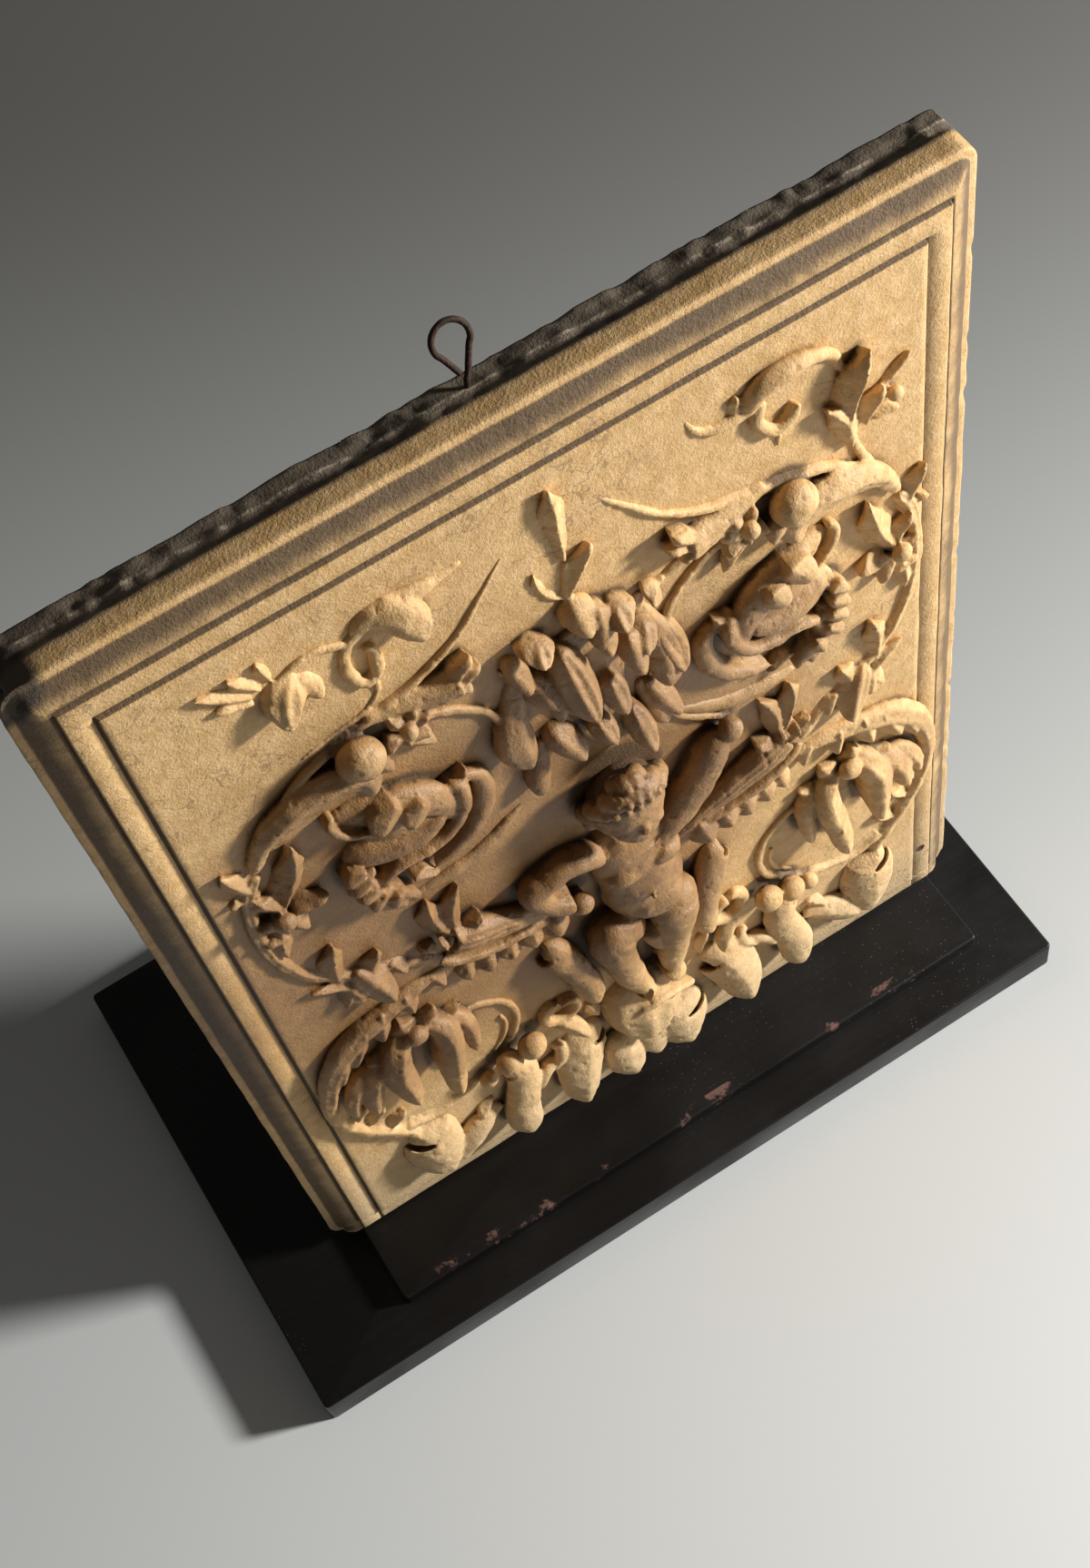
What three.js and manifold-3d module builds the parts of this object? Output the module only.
// Plaster relief panel on a low black stand. Millimetres, +Z up, the carved face looks along -Y.
// The origin is the middle of the stand's underside.
import * as THREE from 'three';
import { mergeVertices } from 'three/addons/utils/BufferGeometryUtils.js';
import Module from 'manifold-3d';

const wasm = await Module();
wasm.setup();

// Stand: a slab with a thin step on it, and the panel stands on the step.
const slabWidth = 422;
const slabDepth = 258;
const slabThickness = 20;
const stepThickness = 8;
const stepInset = 13;
const stepFront = 46;
const stepBack = 46;

// Panel: overall size, and where it stands on the slab.
const panelWidth = 360;
const panelHeight = 511;
const panelThickness = 23;
const panelShift = 14;
const slabFront = 68;
const cornerRadius = 9;
const bottomCornerRadius = 12;

// Moulded border on the left, top and right: lip, ovolo, fillet and raised field.
const lipWidth = 3;
const ovoloWidth = 11;
const ovoloRise = 5;
const filletWidth = 10.5;
const filletRise = 1.2;
const fieldRise = 1.8;
const bottomStrip = 15;

// Hanging loop of bent wire, standing out of the top face.
const loopWire = 2.2;
const loopWidth = 15.5;
const loopHeight = 24;
const loopLean = 0.44;
const loopFromBack = 6;
const loopOffset = -3;
const loopSunk = 6;
const gap = 0.3;

// The carving is drawn on a sheet of this size, which is laid over the whole panel.
// A place on it is [distance right of the carving's axis, height, relief above the field].
const drawingWidth = 360;
const drawingHeight = 511;
const drawingAxis = 184;
const drawingRelief = 22;
const carvingRelief = 22;
const carvingTolerance = 1.4;

const panelLeft = panelShift - panelWidth / 2;
const panelFoot = slabThickness + stepThickness;
const lipPlane = slabFront - slabDepth / 2;
const fieldPlane = lipPlane - ovoloRise - filletRise - fieldRise;

// Places a point of the drawing on the panel.
function onPanel([across, height, relief]) {
  return new THREE.Vector3(
    panelLeft + (drawingAxis + across) * panelWidth / drawingWidth,
    fieldPlane - relief * carvingRelief / drawingRelief,
    panelFoot + height * panelHeight / drawingHeight,
  );
}

// Turns a closed three.js geometry into a solid that can be joined.
function solidOf(geometry) {
  const bare = new THREE.BufferGeometry();
  bare.setAttribute('position', geometry.getAttribute('position').clone());
  if (geometry.index) {
    bare.setIndex(geometry.index.clone());
  }
  const merged = mergeVertices(bare, 1e-4);
  return new wasm.Manifold(new wasm.Mesh({
    numProp: 3,
    vertProperties: new Float32Array(merged.getAttribute('position').array),
    triVerts: new Uint32Array(merged.index.array),
  }));
}

// Turns a joined solid back into a three.js geometry.
function geometryOf(solid) {
  const mesh = solid.getMesh();
  const geometry = new THREE.BufferGeometry();
  geometry.setAttribute('position', new THREE.BufferAttribute(new Float32Array(mesh.vertProperties), 3));
  geometry.setIndex(new THREE.BufferAttribute(new Uint32Array(mesh.triVerts), 1));
  geometry.computeVertexNormals();
  return geometry;
}

// Closes a stack of rings, each a list of points with the same count, into one geometry.
function skinOf(rings) {
  const count = rings[0].length;
  const points = rings.flat();
  const faces = [];
  for (let ring = 0; ring + 1 < rings.length; ring += 1) {
    for (let side = 0; side < count; side += 1) {
      const next = (side + 1) % count;
      const [a, b] = [ring * count + side, ring * count + next];
      faces.push(a, b, b + count, a, b + count, a + count);
    }
  }
  const last = (rings.length - 1) * count;
  for (let side = 1; side + 1 < count; side += 1) {
    faces.push(0, side + 1, side);
    faces.push(last, last + side, last + side + 1);
  }
  const geometry = new THREE.BufferGeometry().setFromPoints(points);
  geometry.setIndex(faces);
  return geometry;
}

// A tapering limb through drawn points, with its half width at each and a depth as a share of it.
function limb(points, halfWidths, depth = 0.8, sides = 5, stepsPerSpan = 1) {
  const curve = new THREE.CatmullRomCurve3(points.map(onPanel));
  const spans = points.length - 1;
  const steps = spans * stepsPerSpan;
  const outward = new THREE.Vector3(0, -1, 0);
  const rings = [];
  for (let step = 0; step <= steps; step += 1) {
    const along = step / stepsPerSpan;
    const span = Math.min(Math.floor(along), spans - 1);
    const width = THREE.MathUtils.lerp(halfWidths[span], halfWidths[span + 1], along - span);
    const centre = curve.getPoint(step / steps);
    const tangent = curve.getTangent(step / steps);
    const across = new THREE.Vector3().crossVectors(tangent, outward).normalize();
    const up = new THREE.Vector3().crossVectors(across, tangent).normalize();
    const ring = [];
    for (let side = 0; side < sides; side += 1) {
      const angle = Math.PI / 2 - (side / sides) * 2 * Math.PI;
      ring.push(centre.clone()
        .addScaledVector(across, width * Math.cos(angle))
        .addScaledVector(up, depth * width * Math.sin(angle)));
    }
    rings.push(ring);
  }
  return solidOf(skinOf(rings));
}

// A leaf from its foot to its tip, arched off the field by its lift.
function leaf(foot, tip, halfWidth, lift) {
  const at = (share, height) => [
    foot[0] + share * (tip[0] - foot[0]), foot[1] + share * (tip[1] - foot[1]), height,
  ];
  return limb(
    [at(0, 0), at(0.3, 0.7 * lift), at(0.65, lift), at(1, 0.6 * lift)],
    [0.35 * halfWidth, halfWidth, 0.8 * halfWidth, 0.08 * halfWidth], 0.5, 4, 1,
  );
}

// A fruit or bud that springs from the field and hangs forward.
function pod(root, tip, halfWidth) {
  const middle = root.map((value, axis) => (value + tip[axis]) / 2);
  return limb([root, middle, tip], [0.6 * halfWidth, halfWidth, 0.5 * halfWidth], 0.95, 5, 1);
}

// A round form: centre, half width, half height and half depth.
function ball(centre, halfWidth, halfHeight, halfDepth, segments = 6) {
  const sphere = new THREE.SphereGeometry(1, segments, Math.round(segments * 0.7));
  const place = onPanel(centre);
  sphere.scale(halfWidth, halfDepth, halfHeight);
  sphere.translate(place.x, place.y, place.z);
  return solidOf(sphere);
}

// Points on an arc of the drawing, angles in degrees from the right, anticlockwise.
function arc(centre, radius, from, to, count, relief) {
  return Array.from({ length: count }, (_, index) => {
    const angle = THREE.MathUtils.degToRad(from + (to - from) * index / (count - 1));
    return [centre[0] + radius[0] * Math.cos(angle), centre[1] + radius[1] * Math.sin(angle), relief];
  });
}

// Stem, circle and tendril of one upper scroll; side is -1 on the left and 1 on the right.
function upperScroll(side) {
  const m = (points) => points.map(([across, height, relief]) => [side * across, height, relief]);
  const circle = arc([90.3, 346], [55.5, 59.5], 15, 205, 10, 3);
  return [
    limb(m(circle), circle.map((_, index) => 3.2 + 1.8 * Math.sin(Math.PI * index / 9)), 1, 4, 1),
    limb(m([[142.9, 317.7, 3], [135.1, 274.9, 3], [115.6, 246.6, 3], [86.3, 227.4, 4], [51.2, 217, 5]]),
      [3.6, 3, 3, 3.6, 4.5], 1, 4, 1),
    limb(m([[113.7, 396.7, 3], [90.3, 407.4, 3], [61.1, 412.5, 2], [39.7, 428.1, 2], [26, 452.8, 1]]),
      [4.5, 4, 3, 2.2, 0.8], 0.8, 4, 1),
    limb(m([[140, 370.4, 3], [118.9, 391.4, 6], [97.3, 399.8, 8], [82, 396.1, 7]]), [4, 10, 11, 4], 0.7, 6, 1),
    pod([side * 101.6, 393.5, 5], [side * 88, 381.2, 13], 7),
    ball([side * 85.2, 404.1, 5], 9, 8, 7),
    pod([side * 74.7, 404.5, 3], [side * 66.2, 396.6, 11], 6),
    limb(m([[73, 418.6, 1], [57, 414.8, 5], [44.4, 408.6, 7]]), [3, 8, 10], 0.8, 6, 1),
    pod([side * 36.7, 363.5, 3], [side * 35.7, 337.3, 11], 8),
    pod([side * 29.9, 341.1, 3], [side * 26, 310.3, 8], 6),
    leaf([side * 138.8, 321.6], [side * 140.3, 374], 8, 9),
    leaf([side * 138.8, 321.6], [side * 123.7, 373], 8, 10),
    leaf([side * 138.8, 321.6], [side * 115, 335.3], 8, 10),
    leaf([side * 138.8, 321.6], [side * 128.7, 292.6], 7, 9),
    leaf([side * 144.7, 345.2], [side * 149.9, 371.4], 6, 4),
  ];
}

// Bird in an upper scroll: body, wing, tail, neck and head.
function bird(side) {
  const m = (points) => points.map(([across, height, relief]) => [side * across, height, relief]);
  return [
    limb(m([[102, 350.9, 3], [93.7, 342, 6], [80.1, 333.4, 7], [70.6, 329.5, 5]]), [7, 15, 14, 7], 0.8, 7, 1),
    limb(m([[106.1, 370.5, 2], [94.4, 354.6, 8], [79.6, 347.9, 11], [66.4, 343, 9]]), [3, 8, 8, 3], 0.5, 5, 1),
    limb(m([[101.8, 335.3, 4], [106.5, 313.9, 5], [100.8, 290.6, 4]]), [8, 8, 3], 0.6, 6, 1),
    limb(m([[72.4, 333.4, 7], [58.7, 325.7, 9], [59.7, 309.4, 9], [74.2, 303.5, 8]]), [7, 5.5, 5, 5], 0.9, 5, 1),
    ball([side * 78, 304.5, 8], 8, 7, 6),
    limb(m([[81.8, 304.6, 9], [92.9, 300.4, 5]]), [3.5, 1], 0.8, 5, 1),
    limb(m([[45.5, 329.4, 2], [49.4, 304.1, 2], [67, 288.4, 2], [86.5, 284.5, 2]]), [1.5, 2.4, 2.4, 1.5], 1, 4, 1),
  ];
}

// Leaves and the horn-shaped calyx on the stem between the two scrolls of a side.
function middleLeaves(side) {
  const m = (points) => points.map(([across, height, relief]) => [side * across, height, relief]);
  const lobes = [38, 52, 66, 80].map((across) => (
    pod([side * across, 205, 3], [side * (across - 2), 191, 12], 7.5)
  ));
  return [
    limb(m([[29.9, 210.8, 4], [54.1, 219.2, 6], [81.9, 235.2, 8]]), [5, 7, 11], 0.8, 6, 1),
    ball([side * 85.9, 241.7, 7], 5, 5, 5, 5),
    leaf([side * 78, 237.2], [side * 83.2, 284.9], 10, 9),
    leaf([side * 126.1, 252.9], [side * 125.1, 286.7], 8, 7),
    leaf([side * 114.3, 244.1], [side * 108.7, 269.1], 6, 6),
    pod([side * 116.8, 241.5, 2], [side * 111.9, 232.5, 12], 6),
    pod([side * 138.3, 246.4, 2], [side * 129.1, 234.2, 8], 5),
    ...lobes,
  ];
}

// Lower scroll: an open C of acanthus round a thin ring, with a rosette of hanging petals.
function lowerScroll(side) {
  const m = (points) => points.map(([across, height, relief]) => [side * across, height, relief]);
  const ring = arc([110, 132.1], [45, 46], -110, 80, 7, 2);
  const petals = [-90, -30, 30, 90, 150, 210].map((degrees) => {
    const angle = THREE.MathUtils.degToRad(degrees);
    return leaf([side * 115, 143],
      [side * (115 + 29 * Math.cos(angle)), 143 + 27 * Math.sin(angle)], 9, 14);
  });
  return [
    limb(m([[84.5, 218.4, 3], [115.2, 214.1, 5], [139.2, 199.8, 6], [154, 174.3, 5], [157.2, 146.7, 4],
      [153.6, 120.9, 3], [142.9, 102.4, 3], [130.2, 85.8, 3], [125.4, 68.3, 3]]), [4, 8, 9, 8, 5.5, 4, 4, 4, 4], 0.8, 4, 1),
    limb(m(ring), ring.map(() => 2.4), 1, 4, 1),
    leaf([side * 118.2, 209.8], [side * 97.6, 180.5], 9, 10),
    ball([side * 113.8, 145.7, 12], 8, 8, 8),
    ...petals,
  ];
}

// Acanthus along the foot: hanging lobes, small fruit and a curl beside the legs.
function lowerFoliage(side) {
  const lobes = [[122, 72, 37, 14, 10], [76, 94, 31, 10, 12], [43, 82, 30, 14, 13]];
  return [
    ...lobes.map(([across, root, tip, halfWidth, relief]) => limb(
      [[side * across, root, -2], [side * across, (root + tip) / 2 + 4, 0.75 * relief],
        [side * (across - 2), tip, relief - 3]],
      [0.5 * halfWidth, halfWidth, 0.5 * halfWidth], 0.7, 6, 1)),
    ball([side * 78.4, 104.5, 5], 7, 7, 6),
    ball([side * 64.8, 108.3, 5], 7, 7, 6),
    ball([side * 42.6, 119, 3], 9, 9, 6),
    limb([[side * 47.4, 193.3, 4], [side * 40.5, 166.3, 9], [side * 30.9, 142.9, 12], [side * 29, 115.6, 11]],
      [7, 7, 7, 5], 0.9, 6, 1),
    leaf([side * 49.5, 107.7], [side * 35.7, 79.1], 8, 8),
    leaf([side * 61.3, 82.2], [side * 90.2, 72.6], 8, 6),
  ];
}

// Sprigs in the two top corners, which differ.
function topSprigs() {
  return [
    pod([-110.2, 459.7, 1], [-107.2, 448, 17], 9),
    ball([-98.9, 454.8, 4], 6, 6, 6),
    leaf([-119.2, 461], [-131.5, 474.1], 5, 3),
    leaf([-114.3, 463], [-119.7, 475.8], 5, 4),
    limb([[-110, 458.4, 2], [-90.6, 462.6, 1], [-77.7, 459.4, 2]], [2, 1.6, 2], 1, 4, 1),
    limb([[-78.7, 462.3, 2], [-64.7, 465.9, 6], [-56.5, 455.2, 14]], [4, 9, 5], 0.9, 5, 1),
    limb([[-61.1, 466.8, 3], [-31.9, 467.9, 0]], [5, 0.8], 0.7, 4, 1),
    limb([[-79.7, 458.4, 2], [-82.6, 441.8, 2], [-73.7, 432.7, 3], [-67.9, 442.5, 3]], [2.4, 2.6, 2.6, 2], 1, 4, 1),
    limb([[-74.8, 433, 2], [-82.8, 412.7, 1]], [2, 1.4], 1, 4, 1),
    limb([[51.4, 468.5, 1], [59, 455.4, 2], [73.9, 455.8, 1]], [2.6, 3, 1.6], 0.9, 4, 1),
    leaf([76.1, 457.1], [69.8, 470.2], 4, 3),
    limb([[77.6, 460.3, 2], [89.8, 462.7, 7], [106.5, 460, 3], [112.1, 447, 1]], [4, 7, 4, 1.6], 0.8, 5, 1),
    limb([[81.5, 456.4, 2], [83.4, 437.9, 2], [90, 431.8, 3], [95.8, 442.5, 3]], [2.6, 2.8, 2.6, 2], 1, 4, 1),
    leaf([119.3, 404.1], [119.8, 457], 10, 11),
    pod([109.8, 436.9, 2], [111.2, 419.4, 12], 7),
    leaf([125.2, 412.9], [129.7, 442.3], 6, 6),
    ball([139.5, 421.5, 1], 4, 4, 3, 5),
    limb([[117.9, 407.8, 1], [128.7, 382.3, 1], [139.5, 360.8, 1]], [2, 2, 2], 1, 4, 1),
  ];
}

// Bunch of fruit and buds on the axis, with the leaf buds above it.
function bouquet() {
  const pods = [
    [-19.2, 404.5, 3, -20.5, 392.5, 15, 8], [-5.5, 406.4, 3, 0.6, 400.3, 12, 7], [8.1, 403.5, 3, 13.4, 386.8, 16, 9],
    [24.8, 398.8, 2, 26.6, 389, 10, 6], [-27.9, 397.8, 2, -27.1, 378.4, 12, 7], [-9.6, 387.5, 6, -3.9, 354.9, 20, 9],
    [14.7, 383.8, 5, 17.2, 367.9, 16, 8], [6, 354.7, 5, 8.9, 341.3, 14, 8], [-20.2, 366.4, 4, -14.8, 352.7, 15, 8],
    [-21.1, 341.1, 3, -14.7, 325, 12, 8], [3, 333.3, 6, 2.3, 318.5, 14, 6], [14.8, 326.5, 4, 17.5, 310, 14, 8],
    [-6.7, 314, 6, -4.4, 297.8, 15, 7],
  ];
  return [
    ...pods.map(([x0, z0, h0, x1, z1, h1, halfWidth]) => pod([x0, z0, h0], [x1, z1, h1], halfWidth)),
    leaf([1.5, 427.6], [1.3, 473.4], 7, 6),
    leaf([1.5, 408], [12.9, 434.5], 6, 6),
    leaf([1.5, 408], [-11.3, 435], 4, 3),
    limb([[1.4, 433.2, 1], [1.4, 403.9, 1]], [1.6, 1.8], 1, 4, 1),
  ];
}

// Child standing in a cup of leaves, arms held out to the scrolls.
function putto() {
  return [
    ball([0.3, 267.1, 3], 17, 18.5, 18.5, 10),
    ball([-1, 266.8, 19], 3, 3, 3.5, 5),
    ball([-0.5, 256.6, 13], 7, 5, 6),
    ball([-11.7, 276, 10], 7, 8, 8),
    ball([10.3, 276.9, 10], 7, 8, 8),
    ball([-1.2, 282.9, 11], 8, 6, 8),
    limb([[-0.7, 253.6, 4], [-0.8, 242.2, 5], [-0.9, 226.9, 6], [-0, 206.3, 8], [-0, 189, 8], [0.2, 174.3, 5]],
      [7, 15, 19, 17, 19, 12], 0.75, 8, 1),
    limb([[-9.6, 180.5, 6], [-9.9, 154.3, 12], [-5, 122.7, 10], [-3.9, 92.7, 8], [-7.2, 90.8, 14]], [10, 9, 6, 5, 3.5], 1, 6, 1),
    limb([[10.7, 180.5, 6], [19.5, 158.6, 13], [18.8, 130.9, 11], [17.3, 98.5, 8], [19.4, 95.6, 14]], [11, 9, 6.5, 5, 3.5], 1, 6, 1),
    limb([[-14.4, 238.5, 6], [-33.7, 243.6, 7], [-38.6, 227.2, 7], [-28, 211.4, 6]], [7, 6, 5.5, 4.5], 0.9, 5, 1),
    limb([[12.7, 236.6, 6], [31.7, 252.5, 8], [51, 271.8, 8]], [7, 8, 9], 0.9, 6, 1),
    limb([[51.6, 269.3, 5], [58, 296.2, 2], [40.4, 311.9, 2], [30.7, 329.4, 2]], [3, 2, 2, 1.6], 1, 4, 1),
    limb([[0, 84, -2], [-1, 78, 9], [-4, 68, 13], [-5, 54, 11]], [17, 21, 20, 10], 0.6, 8, 1),
    limb([[-17, 62, 2], [-19, 46, 9], [-20, 28, 10]], [7, 10.5, 5], 0.6, 6, 1),
    limb([[10, 60, 2], [10, 46, 10], [11, 28, 11]], [8, 12, 6], 0.6, 6, 1),
  ];
}

// Outline of the panel's front, drawn in by an inset from the left, the top and the right.
function outline(inset, foot, radius, footRadius) {
  const left = panelLeft + inset;
  const right = panelLeft + panelWidth - inset;
  const top = panelFoot + panelHeight - inset;
  const corners = [
    [right - footRadius, foot + footRadius, -90, footRadius], [right - radius, top - radius, 0, radius],
    [left + radius, top - radius, 90, radius], [left + footRadius, foot + footRadius, 180, footRadius],
  ];
  return corners.flatMap(([x, z, start, size]) => [0, 45, 90].map((turn) => {
    const angle = THREE.MathUtils.degToRad(start + turn);
    return [x + size * Math.cos(angle), z + size * Math.sin(angle)];
  }));
}

// One layer of the panel: outlines one behind the other, each at its own depth.
function layer(levels) {
  return solidOf(skinOf(levels.map(([points, y]) => points.map(([x, z]) => new THREE.Vector3(x, y, z)))));
}

function reliefPanel() {
  const foot = panelFoot;
  const sunk = lipPlane + panelThickness / 2;
  const edge = outline(0, foot, cornerRadius, bottomCornerRadius);
  const ovolo = [0, 0.35, 0.7, 1].map((share) => {
    const inset = lipWidth + ovoloWidth * share;
    const rise = ovoloRise * Math.sin(share * Math.PI / 2);
    return [outline(inset, foot, cornerRadius / 2, bottomCornerRadius / 2), lipPlane - rise];
  });
  const filletInset = lipWidth + ovoloWidth;
  const fieldInset = filletInset + filletWidth;
  const fillet = outline(filletInset, foot, 1, 3);
  const field = outline(fieldInset, foot + bottomStrip, 1, 1);
  const back = lipPlane + panelThickness;
  const body = wasm.Manifold.union([
    layer([[edge, back], [edge, lipPlane]]),
    layer([[ovolo[0][0], sunk], ...ovolo]),
    layer([[fillet, sunk], [fillet, lipPlane - ovoloRise - filletRise]]),
    layer([[field, sunk], [field, fieldPlane]]),
  ]);
  const carving = [
    ...[-1, 1].flatMap((side) => [
      ...upperScroll(side), ...bird(side), ...middleLeaves(side),
      ...lowerScroll(side), ...lowerFoliage(side),
    ]),
    ...topSprigs(), ...bouquet(), ...putto(),
  ];
  const socket = loopSolid(loopWire / 2 + gap, 0);
  const cast = wasm.Manifold.union([body, ...carving]).simplify(carvingTolerance);
  return geometryOf(withoutVoids(cast).subtract(socket));
}

// A casting has no sealed hollows, so only its outer shell is kept.
function withoutVoids(solid) {
  const shells = solid.decompose();
  return shells.reduce((best, shell) => (shell.volume() > best.volume() ? shell : best));
}

// Bent wire: a pear-shaped loop whose two ends run together into the top face.
function loopSolid(radius, endGap) {
  const half = (loopWidth - loopWire) / 2;
  const rise = loopHeight - loopWire;
  const foot = new THREE.Vector3(panelShift + loopOffset, lipPlane + panelThickness - loopFromBack,
    panelFoot + panelHeight);
  const shape = [[-0.5, -loopSunk + endGap], [-0.35, 0], [0.15 * half, 2.5]];
  for (let degrees = -45; degrees <= 225; degrees += 27) {
    const angle = THREE.MathUtils.degToRad(degrees);
    shape.push([half * Math.cos(angle), rise - half + half * Math.sin(angle)]);
  }
  shape.push([-0.2 * half, 3.6]);
  const path = shape.map(([across, height]) => new THREE.Vector3(
    foot.x + across,
    foot.y + Math.max(height, 0) * Math.sin(loopLean),
    foot.z + (height > 0 ? height * Math.cos(loopLean) : height),
  ));
  const curve = new THREE.CatmullRomCurve3(path);
  const section = new THREE.Shape().absarc(0, 0, radius, 0, 2 * Math.PI);
  return solidOf(new THREE.ExtrudeGeometry(section, {
    steps: 26, curveSegments: 2, bevelEnabled: false, extrudePath: curve,
  }));
}

function stand() {
  const slab = new THREE.BoxGeometry(slabWidth, slabDepth, slabThickness);
  slab.translate(0, 0, slabThickness / 2);
  const stepDepth = stepFront + panelThickness + stepBack;
  const overlap = slabThickness / 2;
  const step = new THREE.BoxGeometry(panelWidth - 2 * stepInset, stepDepth, stepThickness + overlap);
  step.translate(panelShift, lipPlane - stepFront + stepDepth / 2,
    slabThickness + (stepThickness - overlap) / 2);
  return geometryOf(solidOf(slab).add(solidOf(step)));
}

const plaster = new THREE.MeshStandardMaterial({ color: 0xb89a6c, roughness: 0.7, metalness: 0 });
const ebonised = new THREE.MeshStandardMaterial({ color: 0x0c0b0b, roughness: 0.35, metalness: 0 });
const rustyIron = new THREE.MeshStandardMaterial({ color: 0x3a2418, roughness: 0.75, metalness: 0.6 });

const part = new THREE.Group();
for (const [name, geometry, material] of [
  ['relief_panel', reliefPanel(), plaster],
  ['stand', stand(), ebonised],
  ['hanging_loop', geometryOf(loopSolid(loopWire / 2, gap)), rustyIron],
]) {
  const mesh = new THREE.Mesh(geometry, material);
  mesh.name = name;
  part.add(mesh);
}

export default part;
